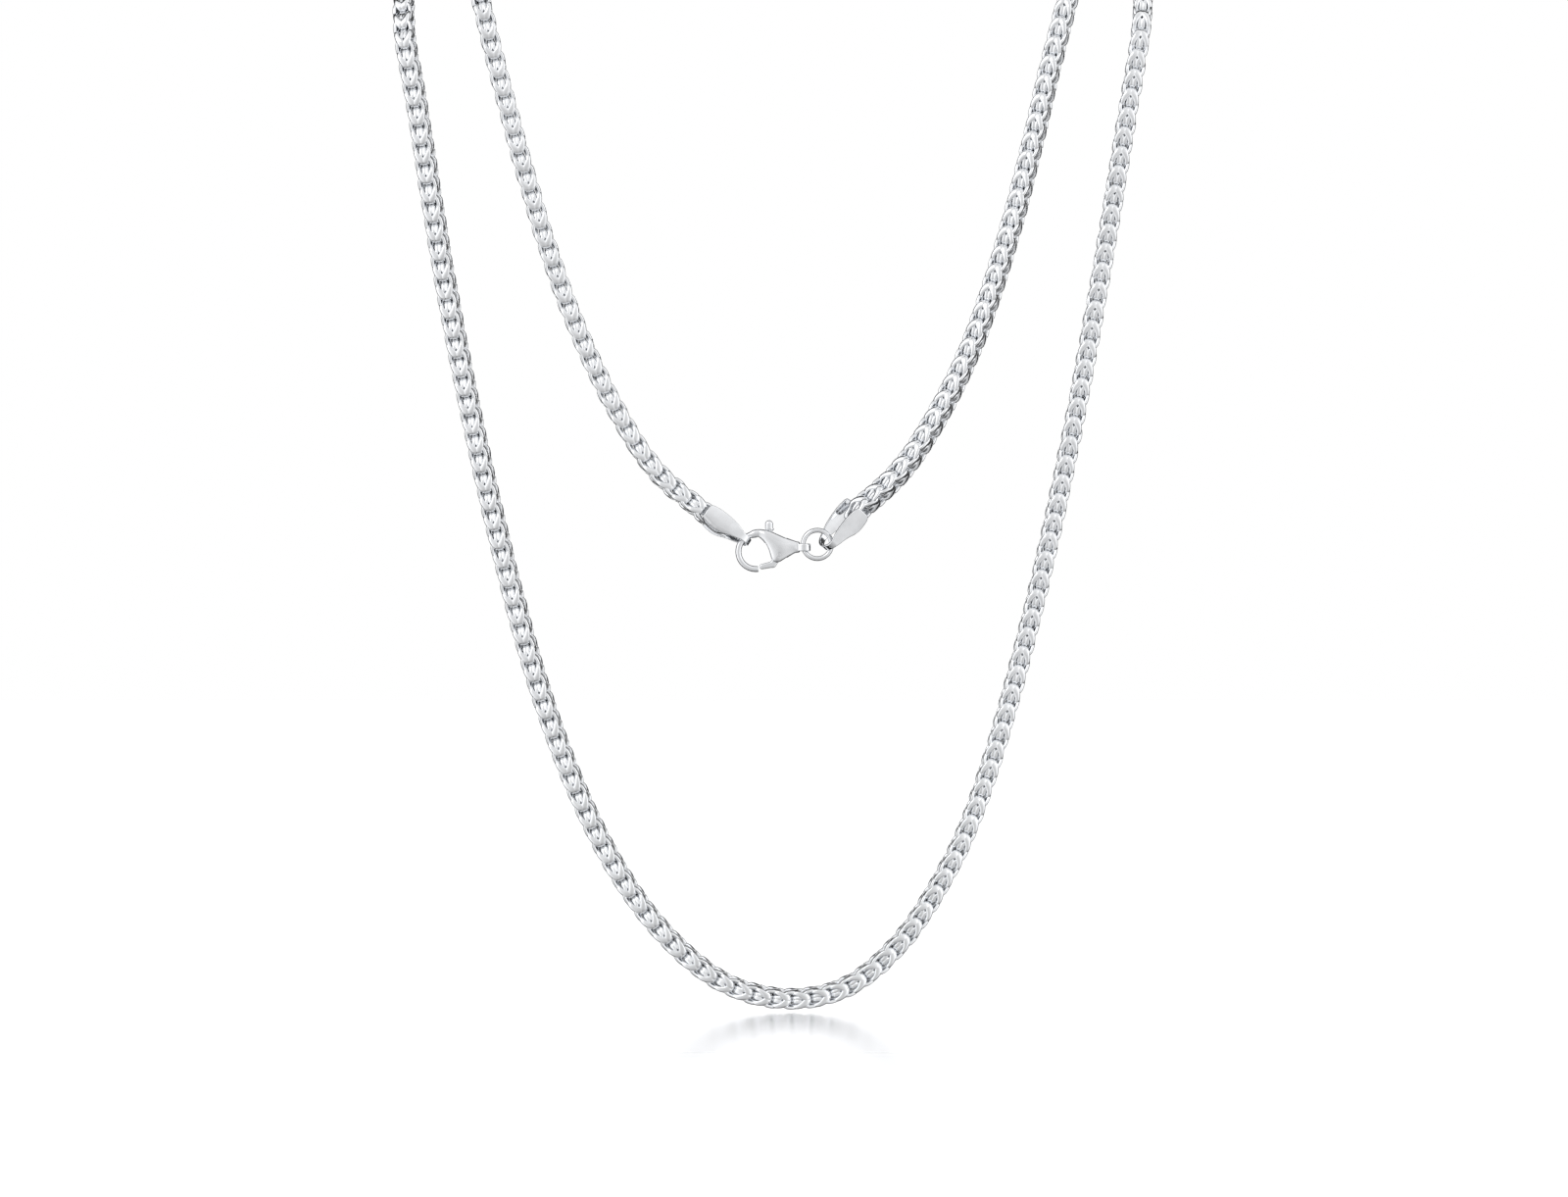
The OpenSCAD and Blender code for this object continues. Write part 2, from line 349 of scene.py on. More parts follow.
# Where the first link's front end is along the route, and how far the last one's goes past the route's end
FIRST_LINK = 3.3
LAST_TIP = 0.5
RINGS_PER_LINK = 64
CHAIN_PIECES = 5
# How much the links differ, in degrees of tilt and millimetres of place
LINK_TILT = 1.2
LINK_NUDGE = 0.012
LINK_SEED = 7

# A quarter of a link. The wire goes through the chain at its front end, bends onto the face, goes back along
# it and dives under the link before to its closed rear end, which holds that link's front end. The columns:
# along the chain, to the side, out of the face, half the wire's width, half its thickness, its backward lean
LINK_QUARTER = np.array([
    (0.10, 0.15, 0.00, 0.46, 0.29, -90),
    (0.10, 0.15, 0.60, 0.48, 0.29, -90),
    (0.12, 0.17, 1.00, 0.50, 0.30, -60),
    (-0.30, 0.31, 1.20, 0.63, 0.29, -20),
    (-0.78, 0.65, 1.25, 0.53, 0.29, -4),
    (-1.34, 0.93, 1.21, 0.42, 0.29, 0),
    (-1.95, 1.07, 1.07, 0.36, 0.29, 5),
    (-2.38, 1.03, 0.56, 0.34, 0.33, 20),
    (-2.90, 0.91, 0.26, 0.34, 0.40, 10),
    (-3.55, 0.74, 0.24, 0.34, 0.40, 10),
    (-3.92, 0.42, 0.24, 0.34, 0.38, 10),
    (-4.00, 0.00, 0.24, 0.34, 0.36, 10),
])
# Points from each row of the link's loop to the next
LINK_STEPS = 24
# The wire's section is an oval, a little squarer than an ellipse, whose power would be 2
SECTION_SIDES = 10
SECTION_POWER = 2.3


def route_frames():
    """Distances along the route, and the place, the face's direction and the side's direction at each."""
    rows = np.array(ROUTE, float)
    rows[:, :3] /= MM
    dense = smooth_curve(rows, ROUTE_STEPS)
    place = dense[:, :3]
    roll = np.radians(dense[:, 3])[:, None]
    direction = unit(np.gradient(place, axis=0))
    forward = np.clip((TURNED_Y - place[:, 1]) / (TURNED_Y - FRONT_Y), 0, 1)
    facing = np.stack([0 * forward, -forward, 1 - forward], axis=1)
    side_0 = unit(np.cross(direction, facing))
    face_0 = np.cross(side_0, direction)
    face = face_0 * np.cos(roll) + side_0 * np.sin(roll)
    side = side_0 * np.cos(roll) - face_0 * np.sin(roll)
    along = lengths_along(place)
    before = place[0] - ROUTE_REACH * direction[0]
    after = place[-1] + ROUTE_REACH * direction[-1]
    place = np.vstack([before, place, after])
    face = np.vstack([face[0], face, face[-1]])
    side = np.vstack([side[0], side, side[-1]])
    along = np.concatenate([[-ROUTE_REACH], along, [along[-1] + ROUTE_REACH]])
    return along, place, face, side


def link_shape():
    """One link's vertices, along the chain, to the side and out of the face, and its quads."""
    lean = np.radians(LINK_QUARTER[:, 5])
    normals = np.stack([-np.sin(lean), 0 * lean, np.cos(lean)], axis=1)
    rows = np.hstack([LINK_QUARTER[:, :5], normals])
    left = np.array([1, -1, 1, 1, 1, 1, -1, 1])
    back = np.array([1, 1, -1, 1, 1, 1, 1, -1])
    loop = np.vstack([rows, (rows * left)[-2::-1], (rows * left * back)[1:], (rows * back)[-2:0:-1]])
    dense = smooth_curve(loop, LINK_STEPS, closed=True)
    dense = np.vstack([dense, dense[:1]])
    along = lengths_along(dense[:, :3])
    at = np.arange(RINGS_PER_LINK) / RINGS_PER_LINK * along[-1]
    ring = interpolate(at, along, dense)
    centre = ring[:, :3]
    tangent = unit(np.roll(centre, -1, axis=0) - np.roll(centre, 1, axis=0))
    normal = ring[:, 5:8]
    normal = unit(normal - tangent * (normal * tangent).sum(axis=1, keepdims=True))
    across = np.cross(tangent, normal)
    turn = (np.arange(SECTION_SIDES) + 0.5) / SECTION_SIDES * 2 * math.pi
    wide = np.sign(np.cos(turn)) * np.abs(np.cos(turn)) ** (2 / SECTION_POWER)
    thick = np.sign(np.sin(turn)) * np.abs(np.sin(turn)) ** (2 / SECTION_POWER)
    vertices = (
        centre[:, None]
        + across[:, None] * wide[None, :, None] * ring[:, None, 3:4]
        + normal[:, None] * thick[None, :, None] * ring[:, None, 4:5]
    ).reshape(-1, 3)
    quads = tube_quads(RINGS_PER_LINK, SECTION_SIDES)
    return vertices, quads


def make_chain(material):
    """The whole chain, link by link along the route, in a few pieces."""
    along, place, face, side = route_frames()
    shape, quads = link_shape()
    route_length = along[-1] - ROUTE_REACH
    tip = shape[:, 0].max()
    span = route_length + LAST_TIP - FIRST_LINK - tip
    count = 2 * round(span / PITCH + 0.5)
    step = span / (count - 1)
    starts = FIRST_LINK + step * np.arange(count)
    chance = np.random.default_rng(LINK_SEED)
    for number, group in enumerate(np.array_split(np.arange(count), CHAIN_PIECES)):
        vertices = []
        faces = []
        for index in group:
            s, w, h = shape.T
            tilt = math.radians(chance.normal(0, LINK_TILT))
            nudge = chance.normal(0, LINK_NUDGE, 3)
            w, h = w * math.cos(tilt) - h * math.sin(tilt), w * math.sin(tilt) + h * math.cos(tilt)
            s, w, h = s + nudge[0], w + nudge[1], h + nudge[2]
            if index % 2:
                w, h = -h, w
            at = starts[index] + s
            centre = interpolate(at, along, place)
            out = interpolate(at, along, face)
            across = interpolate(at, along, side)
            faces.append(quads + len(vertices) * len(shape))
            vertices.append(centre + out * h[:, None] + across * w[:, None])
        add_piece(f"chain_{number + 1}", np.vstack(vertices), np.vstack(faces), material,
                  "necklace", ["chain"])


# Solid shapes from distance fields: a field is negative inside, and its values are millimetres

SETTLE_ROUNDS = 3


def skin(field, low, high, step):
    """Vertices and quads of the surface where the field is zero."""
    axes = [np.arange(a, b + step, step) for a, b in zip(low, high)]
    grid = np.stack(np.meshgrid(*axes, indexing="ij"), axis=-1)
    value = field(grid.reshape(-1, 3)).reshape(grid.shape[:3])
    cells = tuple(n - 1 for n in value.shape)
    total = np.zeros(cells + (3,))
    count = np.zeros(cells)
    crossings = []
    for axis in range(3):
        near = np.take(value, np.arange(cells[axis]), axis)
        far = np.take(value, np.arange(1, cells[axis] + 1), axis)
        crossing = (near < 0) != (far < 0)
        share = np.zeros(near.shape)
        share[crossing] = near[crossing] / (near[crossing] - far[crossing])
        point = np.take(grid, np.arange(cells[axis]), axis).copy()
        point[..., axis] += share * step
        point *= crossing[..., None]
        b, c = (axis + 1) % 3, (axis + 2) % 3
        for shift_b in (0, 1):
            for shift_c in (0, 1):
                window = [slice(None)] * 3
                window[b] = slice(shift_b, shift_b + cells[b])
                window[c] = slice(shift_c, shift_c + cells[c])
                total += point[tuple(window)]
                count += crossing[tuple(window)]
        crossings.append((crossing, near < 0))
    active = count > 0
    number = np.full(cells, -1)
    number[active] = np.arange(active.sum())
    vertices = total[active] / count[active][:, None]
    faces = []
    for axis in range(3):
        crossing, near_inside = crossings[axis]
        b, c = (axis + 1) % 3, (axis + 2) % 3
        at = np.argwhere(crossing)
        at = at[(at[:, b] > 0) & (at[:, b] < cells[b]) & (at[:, c] > 0) & (at[:, c] < cells[c])]
        corners = []
        for shift_b, shift_c in ((1, 1), (0, 1), (0, 0), (1, 0)):
            cell = at.copy()
            cell[:, b] -= shift_b
            cell[:, c] -= shift_c
            corners.append(number[tuple(cell.T)])
        quad = np.stack(corners, axis=1)
        outward = near_inside[tuple(at.T)]
        faces.append(np.where(outward[:, None], quad, quad[:, ::-1]))
    for _ in range(SETTLE_ROUNDS):
        vertices = settle(field, vertices, step)
    return vertices, np.vstack(faces)


def settle(field, points, step):
    """The points moved onto the surface where the field is zero."""
    reach = step * 0.2
    slope = np.stack([
        (field(points + offset) - field(points - offset)) / (2 * reach)
        for offset in np.eye(3) * reach
    ], axis=1)
    value = np.clip(field(points), -step, step)
    size = np.maximum((slope ** 2).sum(axis=1), 0.2)
    return points - slope * (value / size)[:, None]


def joined(a, b, blend):
    """Both shapes, with a fillet about as wide as blend."""
    h = np.clip(0.5 + 0.5 * (b - a) / blend, 0, 1)
    return b + (a - b) * h - blend * h * (1 - h)


def common(a, b, blend):
    """What both shapes hold, with a rounded edge about as wide as blend."""
    return -joined(-a, -b, blend)


def bar(x, z, p, q, r_p, r_q):
    """Flat distance to a bar with round ends of two sizes."""
    along = np.array(q) - np.array(p)
    share = np.clip(((x - p[0]) * along[0] + (z - p[1]) * along[1]) / (along @ along), 0, 1)
    return np.hypot(x - p[0] - share * along[0], z - p[1] - share * along[1]) - (r_p + (r_q - r_p) * share)


def outline_distance(outline, step):
    """A function that gives the flat distance to a smooth closed outline, negative inside."""
    margin = 2.5
    points = smooth_curve(outline, 5, closed=True)
    low = points.min(axis=0) - margin
    high = points.max(axis=0) + margin
    xs = np.arange(low[0], high[0], step)
    zs = np.arange(low[1], high[1], step)
    x, z = np.meshgrid(xs, zs, indexing="ij")
    nearest = np.full(x.shape, 1e9)
    inside = np.zeros(x.shape, bool)
    for p, q in zip(points, np.roll(points, -1, axis=0)):
        nearest = np.minimum(nearest, bar(x, z, p, q, 0, 0))
        if p[1] != q[1]:
            inside ^= ((p[1] > z) != (q[1] > z)) & (x < p[0] + (z - p[1]) / (q[1] - p[1]) * (q[0] - p[0]))
    table = np.where(inside, -nearest, nearest)

    def distance(x, z):
        at_x = np.clip((x - xs[0]) / step, 0, len(xs) - 1.001)
        at_z = np.clip((z - zs[0]) / step, 0, len(zs) - 1.001)
        i = at_x.astype(int)
        k = at_z.astype(int)
        u = at_x - i
        w = at_z - k
        near = table[i, k] * (1 - w) + table[i, k + 1] * w
        far = table[i + 1, k] * (1 - w) + table[i + 1, k + 1] * w
        return near * (1 - u) + far * u

    return distance


# Clasp: sizes and places in X and Z as in part.scad, in millimetres

HOOK_CENTRE = (-2.8, -95.9)
HOOK_OPENING = 4.4
HOOK_WIRE = 0.95
HOOK_R = (HOOK_OPENING + HOOK_WIRE) / 2
HOOK_START = 88
HOOK_END = 278
HOOK_TIP_ROUNDING = 0.12
HOOK_FILLET = 0.45
# The body's outline from the hook's top, down the inner edge and back over the neck
BODY_OUTLINE = [
    (-3.3, -93.67), (-2.6, -93.62), (-2.12, -93.9), (-1.67, -94.35), (-1.25, -94.95), (-0.92, -95.65),
    (-0.7, -96.35), (-0.5, -97.0), (-0.18, -97.45), (0.3, -97.64), (0.85, -97.55), (1.4, -97.24),
    (2.0, -96.86), (2.6, -96.48), (3.2, -96.15), (3.9, -95.98), (3.95, -95.22), (3.9, -94.46),
    (3.4, -94.3), (2.62, -94.02), (1.74, -93.68), (0.95, -93.34), (0.24, -93.02), (-0.46, -92.74),
    (-1.34, -92.53), (-2.4, -92.45), (-3.3, -92.68), (-3.5, -93.15),
]
# Across the body: place in X, how far in from the outline it is full, and half its depth there
BODY_FULLNESS = smooth_curve([
    (-3.4, 0.52, 0.50),
    (-2.4, 0.62, 0.62),
    (-1.2, 1.10, 0.98),
    (0.2, 1.75, 1.20),
    (1.2, 1.70, 1.18),
    (2.6, 1.05, 0.85),
    (3.9, 0.78, 0.60),
], 8)
# Powers of the body's rounded section, towards its edge and towards its face: 2 and 2 would make an ellipse
BODY_EDGE_POWER = 1.9
BODY_FACE_POWER = 3.2
REAR_EYE = (4.56, -95.25)
REAR_EYE_MIDDLE_R = 0.85
REAR_EYE_HALF = (0.2, 0.6)
REAR_EYE_ROUNDING = 0.18
REAR_EYE_FILLET = 0.3
REAR_EYE_BORE_R = 0.64
REAR_EYE_BORE_ROUNDING = 0.1
PIVOT = (0.75, -96.4)
PIN_R = 0.3
PIN_CLEARANCE = 0.06
PIN_SEAT_GAP = 0.005
SLOT_HALF = 0.5
SLOT_X = (-1.4, 1.9)
SLOT_ROUNDING = 0.08
HOLE_ROUNDING = 0.02
# Grid steps of the body's outline and of the skins
OUTLINE_GRID = 0.04
CASTING_GRID = 0.07
LEVER_GRID = 0.05
RIVET_GRID = 0.04

# The lever's plate as bars with round ends: X and Z of one end and of the other, their radii, and the fillet
# that joins a bar to those before it
LEVER_HALF = 0.4
LEVER_ROUNDING = 0.3
LEVER_HOLE_ROUNDING = 0.05
THUMB = ((-0.78, -91.7), (-0.78, -93.2), 0.56, 0.54)
LEVER_ARM = [
    ((-0.8, -93.4), (-0.15, -95), 0.5, 0.48, 0.2),
    ((-0.15, -95), PIVOT, 0.48, 0.6, 0.2),
]
LEVER_BOSS_R = 0.74
LEVER_BOSS_FILLET = 0.1
LEVER_GATE = [
    (PIVOT, (-0.2, -97.85), 0.6, 0.5, 0.2),
    ((-0.2, -97.85), (-1.85, -98.2), 0.5, 0.42, 0.15),
]
# The thumb piece is thickened to a knob, wider at its base, that ends just above the body
KNOB_BASE = ((-0.72, -92.3), (-0.45, -93.3), 0.5, 0.8)
KNOB_BOTTOM = -92.62
KNOB_INSET = 0.5
KNOB_R = 0.55
KNOB_FILLET = 0.15

body_outline = outline_distance(BODY_OUTLINE, OUTLINE_GRID)


def rounded_rectangle(a, b, half, rounding):
    """Flat distance to a rounded rectangle of these half sizes."""
    dx = np.abs(a) - half[0] + rounding
    dz = np.abs(b) - half[1] + rounding
    return np.hypot(np.maximum(dx, 0), np.maximum(dz, 0)) + np.minimum(np.maximum(dx, dz), 0) - rounding


def clasp_solid_field(points):
    """The clasp's hook, body and rear eye in one casting, before its slot and pin hole."""
    x, y, z = points[:, 0], points[:, 1] - FRONT_Y, points[:, 2]
    from_hook_x = x - HOOK_CENTRE[0]
    from_hook_z = z - HOOK_CENTRE[1]
    from_hook = np.hypot(from_hook_x, from_hook_z)
    angle = np.degrees(np.arctan2(from_hook_z, from_hook_x)) % 360

    # The body is plump, fullest in the middle and thinner towards the rear
    inset, depth = interpolate(x, BODY_FULLNESS[:, 0], BODY_FULLNESS[:, 1:]).T
    from_outline = body_outline(x, z)
    share = np.maximum(from_outline + inset, 0) / inset
    fullness = share ** BODY_EDGE_POWER + np.abs(y / depth) ** BODY_FACE_POWER
    body = (np.sqrt(fullness) - 1) * np.minimum(inset, depth)

    wire = np.hypot(from_hook - HOOK_R, y) - HOOK_WIRE / 2
    past_end = (angle - HOOK_END) * math.pi / 180 * HOOK_R
    before_start = (HOOK_START - angle) * math.pi / 180 * HOOK_R
    wire = common(wire, np.maximum(past_end, before_start), HOOK_TIP_ROUNDING)
    shape = joined(body, wire, HOOK_FILLET)

    from_eye = np.hypot(x - REAR_EYE[0], y)
    eye = rounded_rectangle(from_eye - REAR_EYE_MIDDLE_R, z - REAR_EYE[1], REAR_EYE_HALF, REAR_EYE_ROUNDING)
    shape = joined(shape, eye, REAR_EYE_FILLET)
    return common(shape, REAR_EYE_BORE_R - from_eye, REAR_EYE_BORE_ROUNDING)


def clasp_body_field(points):
    """The casting with its slot and pin hole."""
    x, y, z = points[:, 0], points[:, 1] - FRONT_Y, points[:, 2]
    shape = clasp_solid_field(points)
    slot = np.maximum(np.abs(y) - SLOT_HALF, np.maximum(SLOT_X[0] - x, x - SLOT_X[1]))
    shape = common(shape, -slot, SLOT_ROUNDING)
    pin_hole = np.hypot(x - PIVOT[0], z - PIVOT[1]) - PIN_R - PIN_SEAT_GAP
    return common(shape, -pin_hole, HOLE_ROUNDING)


def lever_field(points):
    """The lever: thumb piece, arm and gate in one plate, with the pin's hole."""
    x, y, z = points[:, 0], points[:, 1] - FRONT_Y, points[:, 2]
    from_pivot = np.hypot(x - PIVOT[0], z - PIVOT[1])
    thumb = bar(x, z, *THUMB)
    outline = thumb
    for *ends, fillet in LEVER_ARM:
        outline = joined(outline, bar(x, z, *ends), fillet)
    outline = joined(outline, from_pivot - LEVER_BOSS_R, LEVER_BOSS_FILLET)
    for *ends, fillet in LEVER_GATE:
        outline = joined(outline, bar(x, z, *ends), fillet)
    shape = common(outline, np.abs(y) - LEVER_HALF, LEVER_ROUNDING)
    knob = np.hypot(np.minimum(thumb, bar(x, z, *KNOB_BASE)) + KNOB_INSET, y) - KNOB_R
    knob = common(knob, KNOB_BOTTOM - z, LEVER_ROUNDING)
    shape = joined(shape, knob, KNOB_FILLET)
    hole = from_pivot - PIN_R - PIN_CLEARANCE
    return common(shape, -hole, LEVER_HOLE_ROUNDING)


def pin_field(points):
    """The rivet, dressed flush with the body."""
    x, z = points[:, 0], points[:, 2]
    pin = np.hypot(x - PIVOT[0], z - PIVOT[1]) - PIN_R
    return common(pin, clasp_solid_field(points), HOLE_ROUNDING)


def make_clasp(body_material, lever_material):
    """The casting, the lever and the rivet, each as the skin of its field in a box that holds it."""
    low = (-6.2, FRONT_Y - 1.5, -99.4)
    high = (6.0, FRONT_Y + 1.5, -92.0)
    vertices, faces = skin(clasp_body_field, low, high, CASTING_GRID)
    add_piece("clasp_casting", vertices, faces, body_material, "necklace", ["clasp_body"])
    low = (-3.0, FRONT_Y - 0.9, -98.8)
    high = (1.9, FRONT_Y + 0.9, -90.9)
    vertices, faces = skin(lever_field, low, high, LEVER_GRID)
    add_piece("clasp_gate", vertices, faces, lever_material, "lever", ["clasp_lever"])
    low = (PIVOT[0] - 0.45, FRONT_Y - 1.5, PIVOT[1] - 0.45)
    high = (PIVOT[0] + 0.45, FRONT_Y + 1.5, PIVOT[1] + 0.45)
    vertices, faces = skin(pin_field, low, high, RIVET_GRID)
    add_piece("clasp_rivet", vertices, faces, body_material, "necklace", ["clasp_pin"])


# Jump ring

RING_CENTRE = (6.6, -94.8)
RING_WIRE = 0.75
RING_R = 2.175
# The seam's place and half width in degrees, and its depth
RING_SEAM_ANGLE = 200
RING_SEAM_HALF = 1
RING_SEAM_DEPTH = 0.05
RING_STEPS = 180
RING_SIDES = 28


def make_jump_ring(material):
    """A round wire ring with the fine line of its closed seam."""
    turn = np.radians(np.arange(RING_STEPS) * 360 / RING_STEPS)
    section = np.radians(np.arange(RING_SIDES) * 360 / RING_SIDES)
    from_seam = np.abs((np.degrees(turn) - RING_SEAM_ANGLE + 180) % 360 - 180)
    wire = RING_WIRE / 2 - RING_SEAM_DEPTH * (from_seam < RING_SEAM_HALF)
    radius = RING_R + wire[:, None] * np.cos(section)
    x = RING_CENTRE[0] + radius * np.cos(turn)[:, None]
    z = RING_CENTRE[1] + radius * np.sin(turn)[:, None]
    y = FRONT_Y + wire[:, None] * np.sin(section) + 0 * radius
    vertices = np.stack([x, y, z], axis=-1).reshape(-1, 3)
    faces = tube_quads(RING_STEPS, RING_SIDES)
    add_piece("ring", vertices, faces, material, "necklace", ["jump_ring"])


# End caps: a strip of sheet folded double, with sizes and places as in part.scad

CAP_SHEET = 0.35
# The space between the plates at the open end and at the fold, and where the fold's arc starts
CAP_MOUTH_GAP = 3.8
CAP_FOLD_GAP = 3.2
CAP_ARC_S = 6.3
CAP_HALF_WIDTH = 1.6
# By distance from the open end: half the plates' width to the smooth edge, and to the edge that is bent in
CAP_EDGES = np.array([
    (-0.5, 1.05, 0.70),
    (0.0, 1.30, 1.10),
    (0.7, 1.50, 1.50),
    (1.6, 1.60, 1.72),
    (2.6, 1.58, 1.80),
    (3.5, 1.48, 1.62),
    (4.3, 1.36, 1.24),
    (5.1, 1.18, 0.96),
    (5.9, 0.92, 0.80),
    (6.7, 0.62, 0.60),
    (7.3, 0.55, 0.55),
    (9.5, 0.55, 0.55),
])
# Where the bend starts across the plate, by distance from the open end, and its slope: narrow and steep on
# the left cap, wide and slight on the right one. The crown is how far the plates bulge.
LEFT_BEND = [(0, 0.70), (1.6, 1.1), (2.6, 1.18), (3.5, 1.1), (4.3, 1.0), (9.5, 1.0)]
LEFT_BEND_SLOPE = 1.3
LEFT_CROWN = 0.22
RIGHT_BEND = [(0, 0.75), (3.4, 0.1), (5.0, 0.0), (9.5, 0.0)]
RIGHT_BEND_SLOPE = 0.08
RIGHT_CROWN = 0.04
# Each cap's open end in X and Z, the direction from it to the fold, and the roll, in degrees
LEFT_MOUTH = (-10.6, -90.1)
LEFT_AXIS = -33.7
LEFT_ROLL = -11
RIGHT_MOUTH = (12.9, -89.15)
RIGHT_AXIS = 227.6
RIGHT_ROLL = -33
# The crown and the bend fade out over these lengths before the fold's arc
CROWN_FADE = 2
BEND_FADE = 1.5
BEND_ROUNDING = 0.3
CAP_EDGE_ROUNDING = 0.12
CAP_MOUTH_ROUNDING = 0.4
CAP_TAIL_ROUNDING = 0.1
CAP_GRID = 0.07


def cap_field(points, bend, bend_slope, bulge):
    """A cap in its own axes: X from its open end to its fold, Z square to its plates."""
    x, y, z = points.T
    upper, lower = interpolate(x, CAP_EDGES[:, 0], CAP_EDGES[:, 1:]).T
    crown_left = np.clip((CAP_ARC_S - x) / CROWN_FADE, 0, 1)
    bend_left = np.clip((CAP_ARC_S - x) / BEND_FADE, 0, 1)
    crown = bulge * (0.5 - np.clip(y / CAP_HALF_WIDTH, -1, 1) ** 2) * crown_left
    gap = CAP_MOUTH_GAP + (CAP_FOLD_GAP - CAP_MOUTH_GAP) * np.clip(x / CAP_ARC_S, 0, 1)
    middle = (gap + CAP_SHEET) / 2
    bend_x, bend_y = np.array(bend).T
    past_bend = common(-y - np.interp(x, bend_x, bend_y), np.zeros(x.shape), BEND_ROUNDING)
    bent_in = bend_slope * past_bend * bend_left
    straight = np.abs(z) - middle - crown + bent_in
    round_end = np.hypot(x - CAP_ARC_S, z) - (CAP_FOLD_GAP + CAP_SHEET) / 2
    sheet = np.abs(np.where(x < CAP_ARC_S, straight, round_end)) - CAP_SHEET / 2
    # The edges run aslant, so the true distance to them is a little less
    edge = common(y - upper, -y - lower, CAP_TAIL_ROUNDING) * 0.9
    return common(sheet, common(edge, -x, CAP_MOUTH_ROUNDING), CAP_EDGE_ROUNDING)


def placed(vertices, mouth, axis, roll):
    """Vertices of a cap, put at its mouth with its axis and roll in degrees."""
    turn = math.radians(90 + roll)
    lean = math.radians(-axis)
    about_x = np.array([
        (1, 0, 0),
        (0, math.cos(turn), -math.sin(turn)),
        (0, math.sin(turn), math.cos(turn)),
    ])
    about_y = np.array([
        (math.cos(lean), 0, math.sin(lean)),
        (0, 1, 0),
        (-math.sin(lean), 0, math.cos(lean)),
    ])
    return vertices @ (about_y @ about_x).T + np.array([mouth[0], FRONT_Y, mouth[1]])


def make_caps(material):
    """Both caps from the same strip. The right one lies turned over."""
    low = (-0.3, -2.0, -2.6)
    high = (8.5, 2.0, 2.6)

    def left_field(points):
        return cap_field(points, LEFT_BEND, LEFT_BEND_SLOPE, LEFT_CROWN)

    def right_field(points):
        return cap_field(points, RIGHT_BEND, RIGHT_BEND_SLOPE, RIGHT_CROWN)

    vertices, faces = skin(left_field, low, high, CAP_GRID)
    vertices = placed(vertices, LEFT_MOUTH, LEFT_AXIS, LEFT_ROLL)
    add_piece("cap_left", vertices, faces, material, "necklace", ["end_cap_left"])
    vertices, faces = skin(right_field, low, high, CAP_GRID)
    turned_over = vertices * np.array([1, -1, -1])
    vertices = placed(turned_over, RIGHT_MOUTH, RIGHT_AXIS, RIGHT_ROLL)
    add_piece("cap_right", vertices, faces, material, "necklace", ["end_cap_right"])


# Floor and light

# The floor lies just under the outer loop's bottom
FLOOR_Z = -166.3
FLOOR_HALF = 9000.0
FLOOR_LIGHT_STRENGTH = 0.62
FLOOR_LIGHT_ANGLE = 150
# The key light's place and target are in metres
KEY_PLACE = (-0.7, -1.0, 0.75)
KEY_TARGET = (0, -0.028, -0.09)
KEY_SIZE = 0.6
KEY_POWER = 1.2
# The tent's brightness by height of the direction, from straight down at 0 to straight up at 1
TENT_HEIGHT = [
    (0.0, 0.30), (0.1, 0.55), (0.2, 0.82), (0.35, 1.06), (0.51, 1.26),
    (0.66, 1.32), (0.78, 1.12), (0.9, 0.88), (1.0, 0.75),
]
# What is left of it from the camera's side, at 0, to behind the necklace, at 1
TENT_DEPTH = [
    (0.0, 0.55), (0.04, 0.61), (0.12, 0.76), (0.28, 1.08), (0.40, 1.22),
    (0.47, 0.8), (0.53, 0.05), (0.90, 0.05), (0.94, 0.8), (0.98, 1.12),
]


def make_floor():
    """A large plain floor that doesn't show in the silver."""
    half = FLOOR_HALF * MM
    z = FLOOR_Z * MM
    mesh = bpy.data.meshes.new("floor")
    corners = [(-half, -half, z), (half, -half, z), (half, half, z), (-half, half, z)]
    mesh.from_pydata(corners, [], [(0, 1, 2, 3)])
    mesh.materials.append(floor_material())
    floor = bpy.data.objects.new("floor", mesh)
    bpy.context.collection.objects.link(floor)
    floor.visible_glossy = False


def make_key_light():
    """A soft light from above on the left that looks at the middle of the necklace's front."""
    data = bpy.data.lights.new("key", "AREA")
    data.shape = "SQUARE"
    data.size = KEY_SIZE
    data.energy = KEY_POWER
    lamp = bpy.data.objects.new("key", data)
    bpy.context.collection.objects.link(lamp)
    lamp.location = KEY_PLACE
    lamp.rotation_euler = (Vector(KEY_TARGET) - Vector(KEY_PLACE)).to_track_quat("-Z", "Y").to_euler()
    lamp.visible_camera = False


def make_floor_light():
    """Even light from above that makes the floor white and doesn't show in the silver."""
    data = bpy.data.lights.new("floor_light", "SUN")
    data.energy = FLOOR_LIGHT_STRENGTH
    data.angle = math.radians(FLOOR_LIGHT_ANGLE)
    lamp = bpy.data.objects.new("floor_light", data)
    bpy.context.collection.objects.link(lamp)
    lamp.location = (0, 0, 1)
    lamp.visible_glossy = False


def shaded_ramp(nodes, stops):
    """A colour ramp of greys, given as position and shade."""
    node = nodes.new("ShaderNodeValToRGB")
    ramp = node.color_ramp
    while len(ramp.elements) < len(stops):
        ramp.elements.new(0.5)
    for element, (position, shade) in zip(ramp.elements, stops):
        element.position = position
        element.color = (shade, shade, shade, 1)
    return node


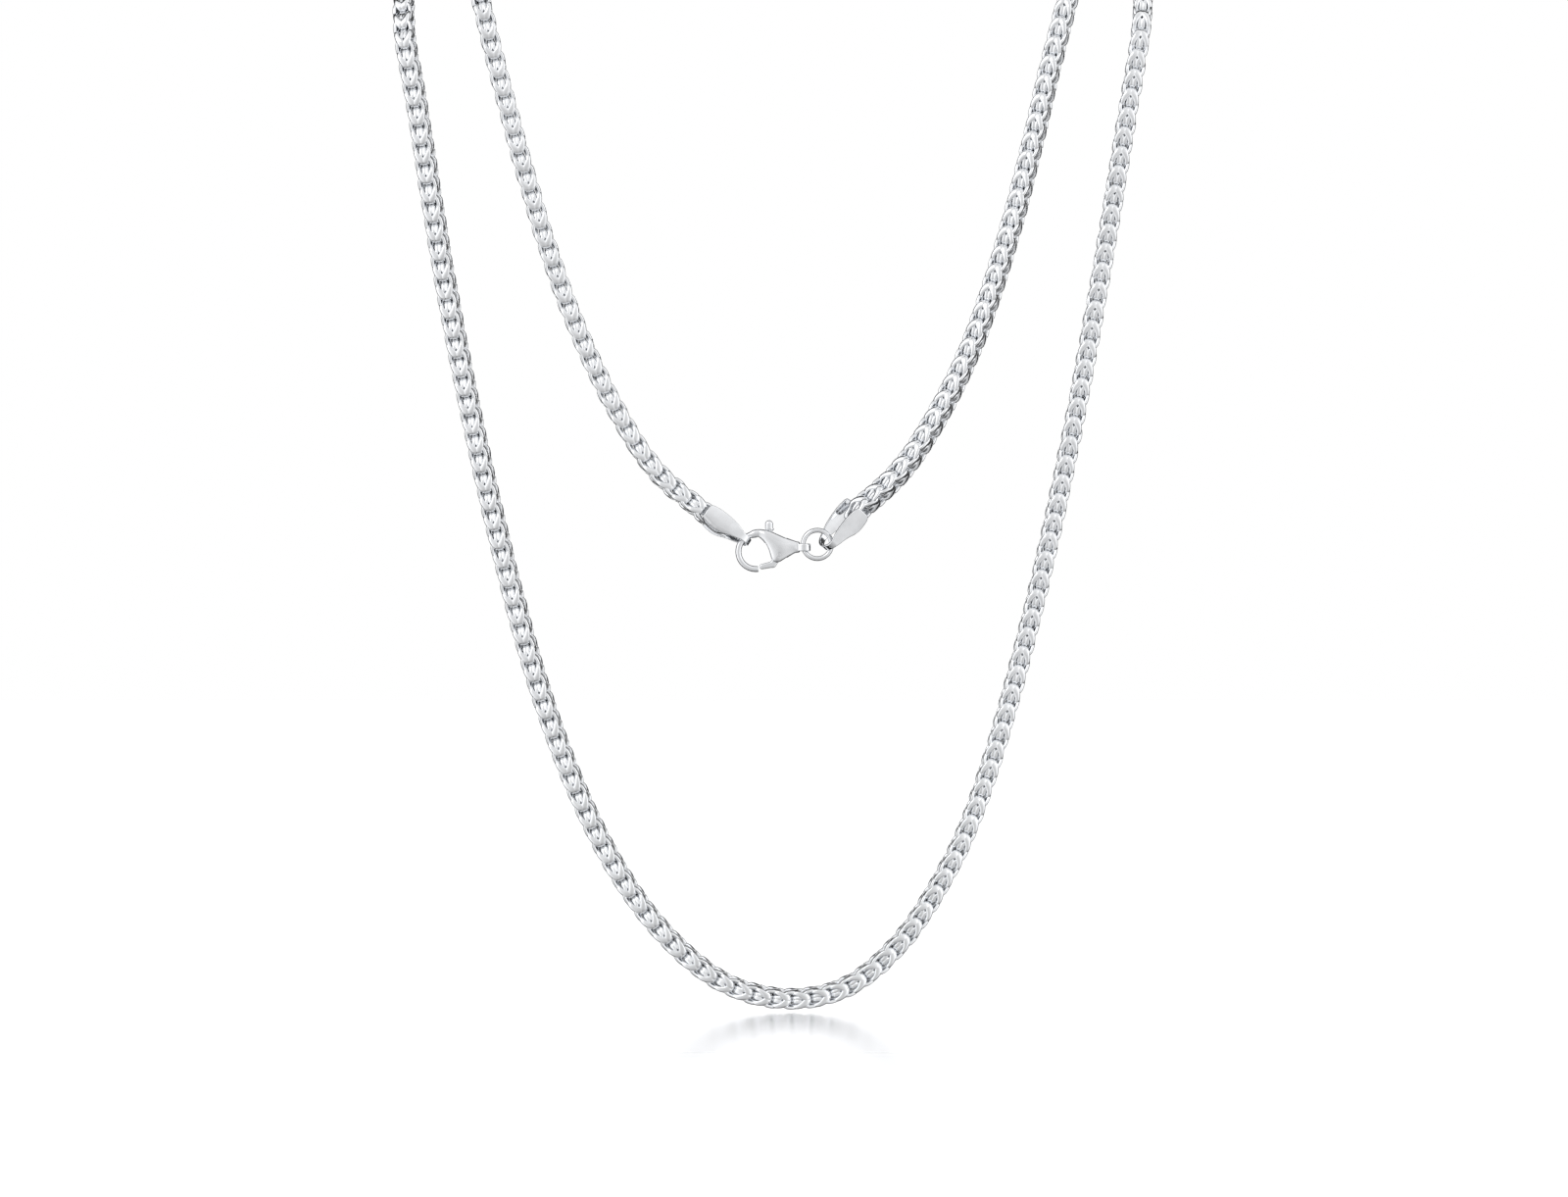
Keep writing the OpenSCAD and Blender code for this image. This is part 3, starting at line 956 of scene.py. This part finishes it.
def make_tent():
    """A white tent of light, darker below and with a dark ring behind. The camera sees plain white."""
    world = bpy.data.worlds.new("studio")
    bpy.context.scene.world = world
    world.use_nodes = True
    nodes = world.node_tree.nodes
    links = world.node_tree.links
    background = nodes["Background"]
    coordinates = nodes.new("ShaderNodeTexCoord")
    split = nodes.new("ShaderNodeSeparateXYZ")
    links.new(coordinates.outputs["Generated"], split.inputs["Vector"])
    ramps = []
    for axis, stops in (("Z", TENT_HEIGHT), ("Y", TENT_DEPTH)):
        share = add_range(nodes, links, split.outputs[axis], (-1, 1), (0, 1))
        ramp = shaded_ramp(nodes, stops)
        links.new(share, ramp.inputs["Fac"])
        ramps.append(ramp)
    shade = add_product(nodes, links, ramps[0].outputs["Color"], ramps[1].outputs["Color"])
    links.new(shade, background.inputs["Color"])
    white = nodes.new("ShaderNodeBackground")
    white.inputs["Color"].default_value = (1, 1, 1, 1)
    path = nodes.new("ShaderNodeLightPath")
    mix = nodes.new("ShaderNodeMixShader")
    links.new(path.outputs["Is Camera Ray"], mix.inputs["Fac"])
    links.new(background.outputs["Background"], mix.inputs[1])
    links.new(white.outputs["Background"], mix.inputs[2])
    links.new(mix.outputs["Shader"], nodes["World Output"].inputs["Surface"])


# The scene

bpy.context.scene.view_settings.view_transform = "Standard"
make_camera()
make_floor()
make_tent()
make_key_light()
make_floor_light()

chain_polish = silver("chain_polish", LIGHT_SILVER, roughness=0.10, polish_marks=0.15, dents=0.15)
cap_polish = silver("cap_polish", SOFT_SILVER, roughness=0.09, polish_marks=0.15, dents=0.05)
ring_polish = silver("ring_polish", SOFT_SILVER, roughness=0.08, polish_marks=0.15, dents=0.05)
clasp_polish = silver("clasp_polish", SOFT_SILVER, roughness=0.12, polish_marks=0.2, dents=0.08)
lever_polish = silver("lever_polish", LIGHT_SILVER, roughness=0.22, polish_marks=0.15, dents=0.05)
make_chain(chain_polish)
make_caps(cap_polish)
make_jump_ring(ring_polish)
make_clasp(clasp_polish, lever_polish)
